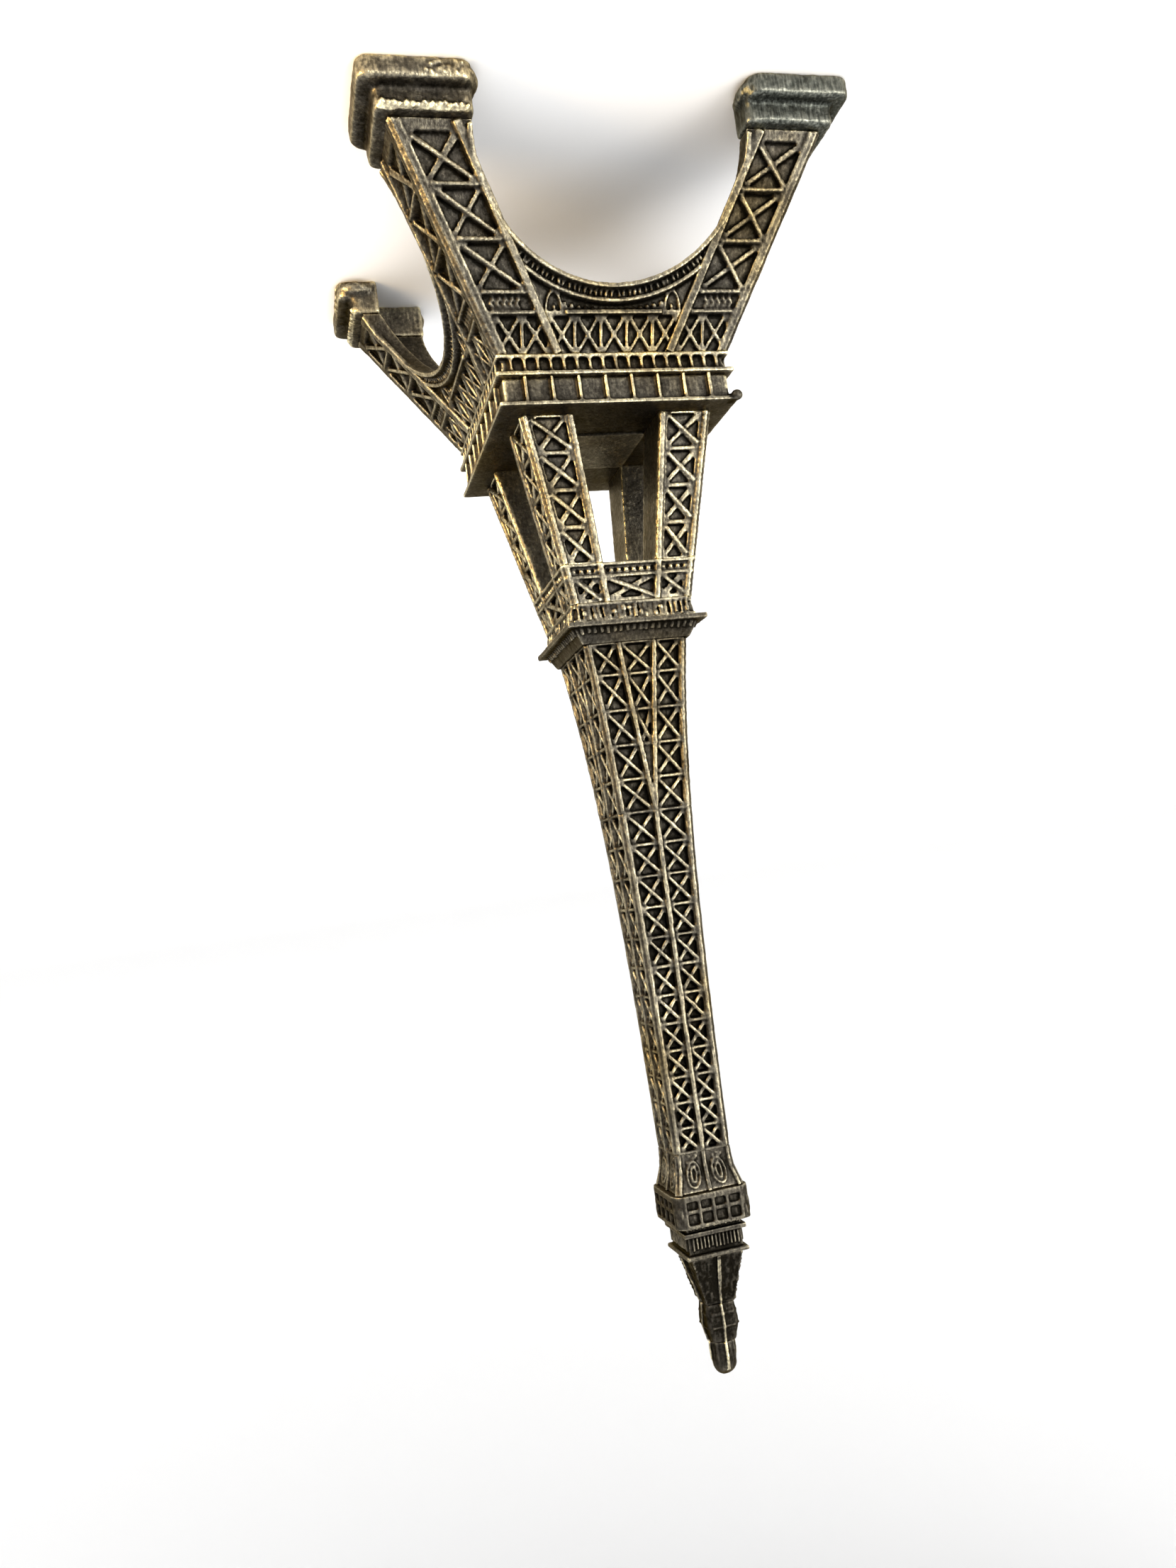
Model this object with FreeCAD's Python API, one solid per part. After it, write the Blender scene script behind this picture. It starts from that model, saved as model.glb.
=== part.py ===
"""Cast metal model of a four-legged iron lattice tower, standing upright.

Units are millimetres.  The origin is the middle of the square footprint on the
ground, +Z runs up the tower and the four faces look along -Y, +X, +Y and -X.
"""
import FreeCAD, Part
import math
import os
from FreeCAD import Vector

# Feet: an angle-shaped slab with a smaller pedestal block on it, under each leg.
footprint_half = 18.5
slab_height = 1.55
slab_corner_radius = 0.9
pedestal_inset = 1.15
pedestal_height = 1.5
pedestal_corner_radius = 0.6
foot_toe = 0.95

# Legs: hollow angle castings that lean in from the pedestals to the first platform.
leg_height = 13.95
leg_foot_half = 16.45
leg_head_half = 9.3
leg_width = 5.2
wall = 1.6

# Great arches between the legs.  Below the haunches the arch wall belongs to the legs.
arch_half_span = 10.5
arch_rise = 9.35
arch_band = 1.2
arch_rib = 0.35
arch_spring_height = 0.25
haunch_height = 4.5

# Relief lattice: raised members and the depth of the panels between them.
chord = 0.8
bar = 0.35
brace = 0.34
truss_brace = 0.26
relief = 0.4
leg_plain_foot = 0.55
leg_bays = 3
frieze_height = 1.28
truss_height = 2.57
truss_bays = 9

# First platform: a baluster gallery with a panelled gallery over it.
platform_half = 9.55
platform_lower_half = 9.35
rail = 0.35
lower_gallery_height = 1.8
upper_gallery_height = 2.35
gallery_relief = 0.45
balusters = 18
baluster = 0.24
panels = 9
panel_post = 0.27

# Second stage: four leaning corner posts with open windows between them.
post_foot_half = 7.7
stage_head_half = 4.85
window_foot_half = 3.5
window_head_half = 2.14
post_height = 11.3
post_bays = 4
post_chord = 0.72
lintel_height = 3.05
lintel_frieze = 1.05

# Second platform.
second_gallery_height = 1.6
second_gallery_half = 5.1
second_gallery_relief = 0.22
second_balusters = 12
second_baluster = 0.26
ledge_half = 5.7
ledge_height = 0.4
corbel_height = 1.15
corbel_head_half = 4.5

# Shaft: the faces curve in towards the top, and the two middle chords meet.
shaft_foot_half = 4.15
shaft_limit_half = 1.95
shaft_curve_length = 16.5
first_cell = 2.5
cell_height = 2.85
cell_shrink = 0.065
lower_cells = 5
upper_cells = 12
shaft_chord = 0.5
shaft_bar = 0.28
shaft_brace = 0.3
shaft_relief = 0.45
middle_chord_offset = 1.5

# Head of the shaft and the top gallery.
head_height = 3.0
head_flare_half = 2.2
head_top_half = 2.65
top_gallery_half = 3.05
top_gallery_height = 2.5
top_gallery_corner = 0.75
top_gallery_windows = 4
top_rail = 0.3
top_window_depth = 0.2

# Cabin, roof, lantern and finial.
neck_half = 2.25
neck_height = 0.45
cabin_height = 1.7
cabin_half = 2.2
cabin_ledge_half = 2.5
cabin_ledge = 0.35
roof_eaves_inset = 0.4
roof_height = 3.9
roof_head_half = 1.15
roof_rib = 0.3
lantern_height = 3.0
lantern_half = 1.3
lantern_head_half = 1.0
lantern_corner = 0.33
finial_radius = 0.98
finial_height = 2.65

# Heights of the joints between the sections, from the ground up.
pedestal_foot = slab_height
leg_foot = pedestal_foot + pedestal_height
leg_head = leg_foot + leg_height
lower_gallery_top = leg_head + lower_gallery_height
deck_top = lower_gallery_top + upper_gallery_height
post_head = deck_top + post_height
lintel_top = post_head + lintel_height
second_gallery_top = lintel_top + second_gallery_height
shaft_foot = second_gallery_top + ledge_height + corbel_height

OUTSIDE = 0.5  # how far a cutter stands clear of the face it enters
STEEP = 0.9  # vertical part of the direction of an edge that counts as upright
SIDES = ("front", "right", "back", "left")
CORNERS = ("front_right", "back_right", "back_left", "front_left")


def between(z, z0, value0, z1, value1):
    """Value at height z on the straight line through two known heights."""
    return value0 + (value1 - value0) * (z - z0) / (z1 - z0)


def ring_solid(rings):
    """Closed solid through rings of matching points, with flat sides and ends."""
    count = len(rings[0])
    faces = []
    for lower, upper in zip(rings, rings[1:]):
        for i in range(count):
            j = (i + 1) % count
            corners = [lower[i], lower[j], upper[j], upper[i], lower[i]]
            faces.append(Part.Face(Part.makePolygon(corners)))
    for ring in (rings[0], rings[-1]):
        faces.append(Part.Face(Part.makePolygon(ring + [ring[0]])))
    solid = Part.makeSolid(Part.makeShell(faces))
    if solid.Volume < 0:
        solid.reverse()
    return solid


def square_ring(half, z):
    """Corners of a level square centred on the tower's axis."""
    return [Vector(x, y, z) for x, y in ((half, -half), (half, half), (-half, half), (-half, -half))]


def turned(shape, quarter_turns):
    """Copy of a shape turned about the tower's axis by whole quarter turns."""
    return shape.rotated(Vector(0, 0, 0), Vector(0, 0, 1), 90 * quarter_turns)


def all_round(shapes):
    """The same shapes on all four faces."""
    return [turned(shape, k) for k in range(4) for shape in shapes]


def inset(points, margins):
    """Convex polygon with each side moved in by its own margin, corners anticlockwise."""
    lines = []
    count = len(points)
    for i in range(count):
        (x0, z0), (x1, z1) = points[i], points[(i + 1) % count]
        length = math.hypot(x1 - x0, z1 - z0)
        nx = -(z1 - z0) / length
        nz = (x1 - x0) / length
        lines.append((nx, nz, nx * x0 + nz * z0 + margins[i]))
    corners = []
    for i in range(count):
        a, b = lines[i - 1], lines[i]
        det = a[0] * b[1] - a[1] * b[0]
        corners.append(((a[2] * b[1] - a[1] * b[2]) / det, (a[0] * b[2] - a[2] * b[0]) / det))
    return corners


def pocket(outline, half_at, depth):
    """Cutter for the front face: an (x, z) outline sunk by depth below the face."""
    outer = [Vector(x, -half_at(z) - OUTSIDE, z) for x, z in outline]
    inner = [Vector(x, -half_at(z) + depth, z) for x, z in outline]
    return ring_solid([outer, inner])


def braced_bay(quad, width):
    """The four triangles that are left open by a saltire of two braces in a bay."""
    a, b, c, d = quad
    p = (c[0] - a[0], c[1] - a[1])
    q = (d[0] - b[0], d[1] - b[1])
    share = ((b[0] - a[0]) * q[1] - (b[1] - a[1]) * q[0]) / (p[0] * q[1] - p[1] * q[0])
    centre = (a[0] + share * p[0], a[1] + share * p[1])
    outlines = []
    for start, end in ((a, b), (b, c), (c, d), (d, a)):
        outlines.append(inset([start, end, centre], [0, width / 2, width / 2]))
    return outlines


def strip_bay(left_at, right_at, z0, z1):
    """Bay between two leaning lines, from one height to another, anticlockwise."""
    return [(left_at(z0), z0), (right_at(z0), z0), (right_at(z1), z1), (left_at(z1), z1)]


def row_of_pockets(count, half_width, member, z0, z1, half_at, depth):
    """Equal upright pockets side by side, parted by members of one width."""
    pitch = 2 * half_width / count
    cutters = []
    for i in range(count):
        x0 = -half_width + i * pitch + member / 2
        x1 = x0 + pitch - member
        cutters.append(pocket([(x0, z0), (x1, z0), (x1, z1), (x0, z1)], half_at, depth))
    return cutters


def leg_half(z):
    """Half width of the tower over the legs."""
    return between(z, leg_foot, leg_foot_half, leg_head, leg_head_half)


def leg_inner(z):
    """Distance from the axis to a leg's inner edge, along a face."""
    return leg_half(z) - leg_width


def stage_half(z):
    """Half width of the second stage."""
    return between(z, deck_top, post_foot_half, lintel_top, stage_head_half)


def window_half(z):
    """Half width of the windows of the second stage."""
    return between(z, deck_top, window_foot_half, post_head, window_head_half)


def shaft_half(z):
    """Half width of the shaft, which curves in with height."""
    spread = shaft_foot_half - shaft_limit_half
    return shaft_limit_half + spread * math.exp(-(z - shaft_foot) / shaft_curve_length)


def shaft_levels():
    """Heights of the shaft's cross bars, from its foot to its head."""
    levels = [shaft_foot, shaft_foot + first_cell]
    for i in range(lower_cells + upper_cells - 1):
        levels.append(levels[-1] + cell_height - cell_shrink * i)
    return levels


def leg_levels():
    """Heights of the bars across a leg: bay by bay, then the frieze."""
    bay_height = (leg_height - leg_plain_foot - frieze_height - truss_height) / leg_bays
    levels = [leg_foot + leg_plain_foot + bay_height * i for i in range(leg_bays + 1)]
    levels.append(levels[-1] + frieze_height)
    return levels


def upright_edges(solid):
    """Edges of a solid that run up it."""
    return [e for e in solid.Edges if abs(e.tangentAt(e.FirstParameter).z) > STEEP]


def angle_ring(outer, arm, thickness, z):
    """Level angle-shaped outline at the front right corner, open towards the axis."""
    edge = outer - arm
    inner = outer - thickness
    return [Vector(edge, -outer, z), Vector(outer, -outer, z), Vector(outer, -edge, z),
            Vector(inner, -edge, z), Vector(inner, -inner, z), Vector(edge, -inner, z)]


def foot_block(outer, arm, thickness, z0, z1, radius):
    """Angle-shaped block under the front right leg, with its outer upright edges rounded."""
    block = ring_solid([angle_ring(outer, arm, thickness, z) for z in (z0, z1)])
    rounded = [e for e in upright_edges(block)
               if max(e.CenterOfMass.x, -e.CenterOfMass.y) > outer - thickness / 2]
    return block.makeFillet(radius, rounded)


def foot():
    """Slab and pedestal under the front right leg."""
    depth = footprint_half - leg_foot_half + wall
    toe = leg_foot_half - leg_width - foot_toe
    face = footprint_half - pedestal_inset
    slab = foot_block(footprint_half, footprint_half - toe, depth, 0, slab_height, slab_corner_radius)
    pedestal = foot_block(face, face - toe, depth - pedestal_inset, pedestal_foot, leg_foot,
                          pedestal_corner_radius)
    return slab.fuse(pedestal).removeSplitter()


def truss():
    """Open triangles of the braced row under the platform, all along the front face."""
    pitch = 2 * platform_lower_half / truss_bays
    z0 = leg_head - truss_height + bar / 2
    outlines = []
    for i in range(truss_bays):
        x0 = -platform_lower_half + i * pitch + truss_brace / 2
        x1 = x0 + pitch - truss_brace
        outlines += braced_bay([(x0, z0), (x1, z0), (x1, leg_head), (x0, leg_head)], truss_brace)
    return Part.makeCompound([pocket(outline, leg_half, relief) for outline in outlines])


def face_zone(left_at, right_at, z0, z1):
    """Deep block behind and before the front face, between two leaning lines."""
    return pocket(strip_bay(left_at, right_at, z0, z1), leg_half, 2 * relief)


def leg():
    """Front right leg, with its raised chords, bars and braces on both outer faces."""
    rings = [angle_ring(leg_half(z), leg_width, wall, z) for z in (leg_foot, leg_head)]
    body = ring_solid(rings)

    def left(z):
        return leg_inner(z) + chord

    def right(z):
        return leg_half(z) - chord

    levels = leg_levels()
    cutters = []
    for i in range(leg_bays):
        bay = strip_bay(left, right, levels[i] + bar / 2, levels[i + 1] - bar / 2)
        cutters += [pocket(outline, leg_half, relief) for outline in braced_bay(bay, brace)]
    frieze = strip_bay(left, right, levels[leg_bays] + bar / 2, levels[leg_bays + 1] - bar / 2)
    cutters.append(pocket(frieze, leg_half, relief / 2))
    cutters.append(truss().common(face_zone(left, right, levels[-1], leg_head)))
    cutters.append(arch_cutter(arch_half_span, arch_rise))
    across = [mirrored_across(cutter) for cutter in cutters]
    haunch = arch_wall(leg_foot, leg_foot + haunch_height)
    haunch = [solid for solid in haunch.Solids if solid.CenterOfMass.x > 0]
    body = body.multiFuse(haunch + [mirrored_across(solid) for solid in haunch])
    return body.cut(Part.makeCompound(cutters + across)).removeSplitter()


def mirrored_across(shape):
    """Copy of a shape on the front face moved to the right face, in the front right corner."""
    return turned(shape.mirror(Vector(0, 0, 0), Vector(1, 0, 0)), 1)


def arch_wall(z0, z1):
    """Front wall between the legs' inner edges, from one height to another, with the arch open."""
    rings = []
    for z in (z0, z1):
        edge, face = leg_inner(z), -leg_half(z)
        rings.append([Vector(-edge, face, z), Vector(edge, face, z),
                      Vector(edge, face + wall, z), Vector(-edge, face + wall, z)])
    return ring_solid(rings).cut(arch_cutter(arch_half_span, arch_rise))


def arch_cutter(half_span, rise):
    """Half ellipse on short upright sides, running through the front of the tower."""
    spring = leg_foot + arch_spring_height
    reach = 2 * footprint_half
    curve = Part.Ellipse(Vector(half_span, -reach, spring), Vector(0, -reach, spring + rise),
                         Vector(0, -reach, spring)).toShape(0, math.pi)
    chord_line = Part.makeLine(Vector(-half_span, -reach, spring), Vector(half_span, -reach, spring))
    dome = Part.Face(Part.Wire([curve, chord_line])).extrude(Vector(0, reach, 0))
    corner = Vector(-half_span, -reach, 0)
    return dome.fuse(Part.makeBox(2 * half_span, reach, spring, corner)).removeSplitter()


def arch():
    """Front arch: two ribs with a groove between, sunk spandrels and the truss over them."""
    body = arch_wall(leg_foot + haunch_height, leg_head)
    rail_foot = leg_head - truss_height - bar / 2
    sunk = face_zone(lambda z: -leg_inner(z), leg_inner, leg_foot + haunch_height, rail_foot)
    sunk.translate(Vector(0, -relief, 0))
    inner_rib = arch_cutter(arch_half_span + arch_rib, arch_rise + arch_rib)
    groove = arch_band - arch_rib
    outer_rib = arch_cutter(arch_half_span + arch_band, arch_rise + arch_band)
    outer_rib = outer_rib.cut(arch_cutter(arch_half_span + groove, arch_rise + groove))
    zone = face_zone(lambda z: -leg_inner(z), leg_inner, rail_foot, leg_head)
    return body.cut([sunk.cut([inner_rib, outer_rib]), truss().common(zone)])


def gallery(z0, z1, foot_half, head_half, depth, count, member, foot_rail):
    """Square gallery all round: a sunk wall with a rail on it and upright members."""
    def half_at(z):
        return between(z, z0, foot_half, z1, head_half)

    body = [ring_solid([square_ring(half_at(z) - depth, z) for z in (z0, z1)])]
    rails = [(z1 - rail, z1)]
    if foot_rail:
        rails.append((z0, z0 + rail))
    body += [ring_solid([square_ring(half_at(z), z) for z in heights]) for heights in rails]
    pitch = 2 * foot_half / count
    for i in range(1, count):
        x0 = -foot_half + i * pitch - member / 2
        x1 = x0 + member
        rings = []
        for z in (z0, z1):
            face = -half_at(z)
            rings.append([Vector(x0, face, z), Vector(x1, face, z),
                          Vector(x1, face + depth, z), Vector(x0, face + depth, z)])
        body += all_round([ring_solid(rings)])
    return body[0].multiFuse(body[1:]).removeSplitter()


def post():
    """Front right post of the second stage, braced on its two outer faces."""
    rings = []
    for z in (deck_top, post_head):
        low, high = window_half(z), stage_half(z)
        rings.append([Vector(low, -high, z), Vector(high, -high, z),
                      Vector(high, -low, z), Vector(low, -low, z)])
    body = ring_solid(rings)

    def left(z):
        return window_half(z) + post_chord

    def right(z):
        return stage_half(z) - post_chord

    bay_height = post_height / post_bays
    cutters = []
    for i in range(post_bays):
        z0 = deck_top + bay_height * i
        bay = strip_bay(left, right, z0 + bar / 2, z0 + bay_height - bar / 2)
        cutters += [pocket(outline, stage_half, relief) for outline in braced_bay(bay, brace)]
    across = [mirrored_across(cutter) for cutter in cutters]
    return body.cut(Part.makeCompound(cutters + across))


def lintel():
    """Solid band over the windows: a frieze and a row of braced bays."""
    body = ring_solid([square_ring(stage_half(z), z) for z in (post_head, lintel_top)])
    taper = (window_foot_half - window_head_half) / post_height

    def middle(z):
        return window_head_half - taper * (z - post_head)

    def outer(z):
        return stage_half(z) - post_chord

    z0 = post_head + lintel_frieze
    z1 = lintel_top - bar
    spans = ((lambda z: -outer(z), lambda z: -middle(z) - post_chord),
             (lambda z: -middle(z), lambda z: middle(z)),
             (lambda z: middle(z) + post_chord, lambda z: outer(z)))
    cutters = []
    for left, right in spans:
        bay = strip_bay(left, right, z0, z1)
        cutters += [pocket(outline, stage_half, relief) for outline in braced_bay(bay, brace)]
        frieze = strip_bay(left, right, post_head + bar, z0 - bar)
        cutters.append(pocket(frieze, stage_half, relief / 2))
    return body.cut(Part.makeCompound(all_round(cutters)))


def second_ledge():
    """Projecting ledge of the second platform, with the corbel that steps back to the shaft."""
    z1 = second_gallery_top + ledge_height
    plate = ring_solid([square_ring(ledge_half, z) for z in (second_gallery_top, z1)])
    corbel = ring_solid([square_ring(second_gallery_half, z1), square_ring(corbel_head_half, shaft_foot)])
    return plate.fuse(corbel).removeSplitter()


def shaft(levels, columns):
    """Stretch of the shaft between cross bars, with its braced cells on all faces."""
    body = ring_solid([square_ring(shaft_half(z), z) for z in levels])
    cutters = []
    for z0, z1 in zip(levels, levels[1:]):
        def half_at(z):
            return between(z, z0, shaft_half(z0), z1, shaft_half(z1))

        low = z0 + shaft_bar / 2
        high = z1 - shaft_bar / 2
        for column in range(columns):
            x0, x1 = column_at(low, column, columns)
            x3, x2 = column_at(high, column, columns)
            if x2 - x3 < shaft_brace * 2:
                continue
            bay = [(x0, low), (x1, low), (x2, high), (x3, high)]
            cutters += [pocket(outline, half_at, shaft_relief) for outline in braced_bay(bay, shaft_brace)]
    return body.cut(Part.makeCompound(all_round(cutters)))


def column_at(z, column, columns):
    """Limits of one lattice column at height z, on a stretch with that many columns."""
    edge = shaft_half(z) - shaft_chord
    side = shaft_chord / 2
    if columns == 2:
        return ((-edge, -side), (side, edge))[column]
    middle = between(z, shaft_foot, middle_chord_offset, shaft_levels()[lower_cells], 0)
    return ((-edge, -middle - side), (-middle + side, middle - side), (middle + side, edge))[column]


def shaft_head(z0, z1):
    """Plain head that spreads from the shaft to the underside of the top gallery."""
    return ring_solid([square_ring(shaft_half(z0), z0), square_ring(head_flare_half, (z0 + z1) / 2),
                       square_ring(head_top_half, z1)])


def rounded_block(half, z0, z1, radius):
    """Square block with its four upright edges rounded."""
    block = ring_solid([square_ring(half, z) for z in (z0, z1)])
    return block.makeFillet(radius, upright_edges(block))


def top_gallery(z0, z1):
    """Glazed gallery: two rows of shallow windows between three rails, all round."""
    body = rounded_block(top_gallery_half, z0, z1, top_gallery_corner)
    flat_half = top_gallery_half - top_gallery_corner
    row_height = (z1 - z0 - 3 * top_rail) / 2
    cutters = []
    for row in range(2):
        low = z0 + top_rail + row * (row_height + top_rail)
        cutters += row_of_pockets(top_gallery_windows, flat_half, top_rail, low, low + row_height,
                                  lambda z: top_gallery_half, top_window_depth)
    return body.cut(Part.makeCompound(all_round(cutters)))


def cabin(z0):
    """Cabin over the gallery: recessed neck, ledge, plain wall and eaves."""
    z1 = z0 + neck_height
    z2 = z1 + cabin_ledge
    z3 = z1 + cabin_height
    z4 = z3 + cabin_ledge
    steps = ((neck_half, z0, z1), (cabin_ledge_half, z1, z2),
             (cabin_half, z2, z3), (cabin_ledge_half, z3, z4))
    blocks = [ring_solid([square_ring(half, low), square_ring(half, high)]) for half, low, high in steps]
    return blocks[0].multiFuse(blocks[1:]).removeSplitter(), z4


def roof(z0, z1):
    """Pyramid roof with a raised rib up the middle of each face."""
    foot_half = cabin_ledge_half - roof_eaves_inset
    body = ring_solid([square_ring(foot_half, z0), square_ring(roof_head_half, z1)])
    rings = []
    for z, face in ((z0, cabin_ledge_half), (z1, roof_head_half)):
        rings.append([Vector(-roof_rib / 2, -face, z), Vector(roof_rib / 2, -face, z),
                      Vector(roof_rib / 2, 0, z), Vector(-roof_rib / 2, 0, z)])
    return body.multiFuse(all_round([ring_solid(rings)])).removeSplitter()


def lantern(z0, z1):
    """Rounded square lantern that narrows under the finial."""
    block = ring_solid([square_ring(roof_head_half, z0), square_ring(lantern_half, (z0 + z1) / 2),
                        square_ring(lantern_head_half, z1)])
    return block.makeFillet(lantern_corner, upright_edges(block))


def finial(z0):
    """Round bullet finial."""
    stem = finial_height - finial_radius
    body = Part.makeCylinder(finial_radius, stem, Vector(0, 0, z0))
    dome = Part.makeSphere(finial_radius, Vector(0, 0, z0 + stem))
    return body.fuse(dome).removeSplitter()


def tower():
    """All the sections by name."""
    nodes = {}
    for name, shape in (("foot", foot()), ("leg", leg()), ("post", post())):
        for k, corner in enumerate(CORNERS):
            nodes[name + "_" + corner] = turned(shape, k)
    shape = arch()
    for k, side in enumerate(SIDES):
        nodes["arch_" + side] = turned(shape, k)
    nodes["baluster_gallery"] = gallery(leg_head, lower_gallery_top, platform_lower_half, platform_half,
                                        gallery_relief, balusters, baluster, True)
    nodes["panelled_gallery"] = gallery(lower_gallery_top, deck_top, platform_half, platform_half,
                                        gallery_relief, panels, panel_post, False)
    nodes["window_lintel"] = lintel()
    nodes["second_gallery"] = gallery(lintel_top, second_gallery_top, stage_head_half, second_gallery_half,
                                      second_gallery_relief, second_balusters, second_baluster, True)
    nodes["second_ledge"] = second_ledge()
    levels = shaft_levels()
    nodes["lower_shaft"] = shaft(levels[:lower_cells + 1], 3)
    nodes["upper_shaft"] = shaft(levels[lower_cells:], 2)
    head_top = levels[-1] + head_height
    nodes["shaft_head"] = shaft_head(levels[-1], head_top)
    gallery_top = head_top + top_gallery_height
    nodes["top_gallery"] = top_gallery(head_top, gallery_top)
    nodes["cabin"], eaves = cabin(gallery_top)
    nodes["cabin_roof"] = roof(eaves, eaves + roof_height)
    lantern_top = eaves + roof_height + lantern_height
    nodes["lantern"] = lantern(eaves + roof_height, lantern_top)
    nodes["finial"] = finial(lantern_top)
    return nodes


os.makedirs("parts", exist_ok=True)
for name, shape in tower().items():
    if len(shape.Solids) == 1:
        shape = shape.Solids[0]
    print(name, shape.ShapeType, len(shape.Solids), round(shape.Volume, 2), shape.isValid())
    shape.exportStep("parts/" + name + ".step")
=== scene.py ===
import math
import random

import bmesh
import bpy
import numpy as np
from mathutils import Matrix, Vector


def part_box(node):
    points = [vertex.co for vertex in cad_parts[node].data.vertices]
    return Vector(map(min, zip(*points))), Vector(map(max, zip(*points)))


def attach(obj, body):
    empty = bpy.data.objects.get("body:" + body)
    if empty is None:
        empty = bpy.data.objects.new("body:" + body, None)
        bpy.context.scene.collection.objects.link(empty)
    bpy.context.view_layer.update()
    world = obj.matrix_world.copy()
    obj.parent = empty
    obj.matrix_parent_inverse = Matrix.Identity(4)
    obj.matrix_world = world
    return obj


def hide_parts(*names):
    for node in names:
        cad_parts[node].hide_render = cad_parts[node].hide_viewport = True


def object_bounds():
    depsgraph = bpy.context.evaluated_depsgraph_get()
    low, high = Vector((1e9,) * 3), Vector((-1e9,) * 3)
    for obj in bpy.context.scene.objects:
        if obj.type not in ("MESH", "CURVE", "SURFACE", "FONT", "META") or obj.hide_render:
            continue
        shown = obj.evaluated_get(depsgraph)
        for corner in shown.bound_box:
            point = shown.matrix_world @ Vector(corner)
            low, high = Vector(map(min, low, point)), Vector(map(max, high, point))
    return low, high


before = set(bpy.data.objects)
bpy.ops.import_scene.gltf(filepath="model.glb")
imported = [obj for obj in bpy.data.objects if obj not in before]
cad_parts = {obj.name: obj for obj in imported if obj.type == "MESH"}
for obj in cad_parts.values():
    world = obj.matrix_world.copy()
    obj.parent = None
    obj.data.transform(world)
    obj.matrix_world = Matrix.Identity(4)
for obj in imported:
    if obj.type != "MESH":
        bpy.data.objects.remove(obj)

cad_low, cad_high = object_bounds()


# ---- Feet ---------------------------------------------------------------------------------
# Each leg stands on an angle-shaped slab with a pedestal block on it. They are cast in one
# with the tower in a soft mould, so their edges are round and lumpy, then plated, darkened
# and rubbed bright. All modelling is in millimetres until a piece is finished.

CORNERS = ("front_right", "back_right", "back_left", "front_left")
MM = 0.001
chance = random.Random(7)


def casting_of(node):
    """Merged copy of a plain section, in millimetres."""
    mesh = bmesh.new()
    mesh.from_mesh(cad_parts[node].data)
    bmesh.ops.scale(mesh, vec=(1 / MM, 1 / MM, 1 / MM), verts=mesh.verts)
    bmesh.ops.remove_doubles(mesh, verts=mesh.verts, dist=0.002)
    return mesh


def corners_of(node):
    """Lowest and highest corners of a plain section, in millimetres."""
    return [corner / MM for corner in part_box(node)]


def add_bar(mesh, start, end, width, depth, facing=(0, -1, 0)):
    """Straight raised member from one point to another on the face that it lies on."""
    along = Vector(end) - Vector(start)
    across = along.cross(Vector(facing)).normalized()
    inward = along.cross(across).normalized()
    turn = Matrix((across, inward, along.normalized())).transposed().to_4x4()
    middle = Matrix.Translation((Vector(start) + Vector(end)) / 2)
    size = Matrix.Diagonal((width, depth, along.length, 1))
    bmesh.ops.create_cube(mesh, size=1, matrix=middle @ turn @ size)


def add_path(mesh, points, width, depth):
    """Raised member that follows a row of points on the front face."""
    for start, end in zip(points, points[1:]):
        add_bar(mesh, start, end, width, depth)


def add_bead(mesh, place, width, depth, height):
    """Rounded lump, in millimetres like everything that is added to a casting."""
    shape = Matrix.Translation(place) @ Matrix.Diagonal((width, depth, height, 1))
    bmesh.ops.create_icosphere(mesh, subdivisions=2, radius=0.5, matrix=shape)


def add_turned(mesh, trim, turns):
    """Adds the trim of the front face to a casting, turned by quarter turns."""
    data = bpy.data.meshes.new("trim")
    for quarter in turns:
        copy = trim.copy()
        turn = Matrix.Rotation(quarter * math.pi / 2, 3, "Z")
        bmesh.ops.rotate(copy, cent=(0, 0, 0), matrix=turn, verts=copy.verts)
        copy.to_mesh(data)
        mesh.from_mesh(data)
        copy.free()
    bpy.data.meshes.remove(data)


def add_all_round(mesh, trim):
    """Adds the trim of the front face to all four faces of a casting, and clears it away."""
    add_turned(mesh, trim, range(4))
    trim.free()


def add_across(mesh, trim):
    """Adds the trim of the front face, mirrored at the front right corner onto the right face."""
    copy = trim.copy()
    mirror = Matrix(((0, -1, 0), (-1, 0, 0), (0, 0, 1)))
    bmesh.ops.transform(copy, matrix=mirror.to_4x4(), verts=copy.verts)
    bmesh.ops.reverse_faces(copy, faces=copy.faces)
    data = bpy.data.meshes.new("trim")
    copy.to_mesh(data)
    mesh.from_mesh(data)
    copy.free()
    bpy.data.meshes.remove(data)


def clouds(name, size):
    """Soft lumps of one size, in metres, for uneven castings."""
    texture = bpy.data.textures.new(name, "CLOUDS")
    texture.noise_scale = size
    texture.noise_depth = 2
    return texture


lumps = clouds("casting_lumps", 1.1 * MM)
pits = clouds("casting_pits", 0.35 * MM)


def baked(piece):
    """Puts the modifiers of a piece into its mesh."""
    plain = piece.data
    skin = bpy.data.meshes.new_from_object(piece.evaluated_get(bpy.context.evaluated_depsgraph_get()))
    piece.modifiers.clear()
    piece.data = skin
    bpy.data.meshes.remove(plain)
    skin.name = piece.name


def fused(mesh, name, grain, rounding):
    """Turns a section and its trim, in millimetres, into one rounded skin."""
    bmesh.ops.scale(mesh, vec=(MM, MM, MM), verts=mesh.verts)
    data = bpy.data.meshes.new(name)
    mesh.to_mesh(data)
    mesh.free()
    piece = bpy.data.objects.new(name, data)
    bpy.context.scene.collection.objects.link(piece)
    fuse = piece.modifiers.new("fuse", "REMESH")
    fuse.mode = "VOXEL"
    fuse.voxel_size = grain * MM
    soften = piece.modifiers.new("soften", "SMOOTH")
    soften.factor = 0.5
    soften.iterations = rounding
    baked(piece)
    return piece


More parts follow.
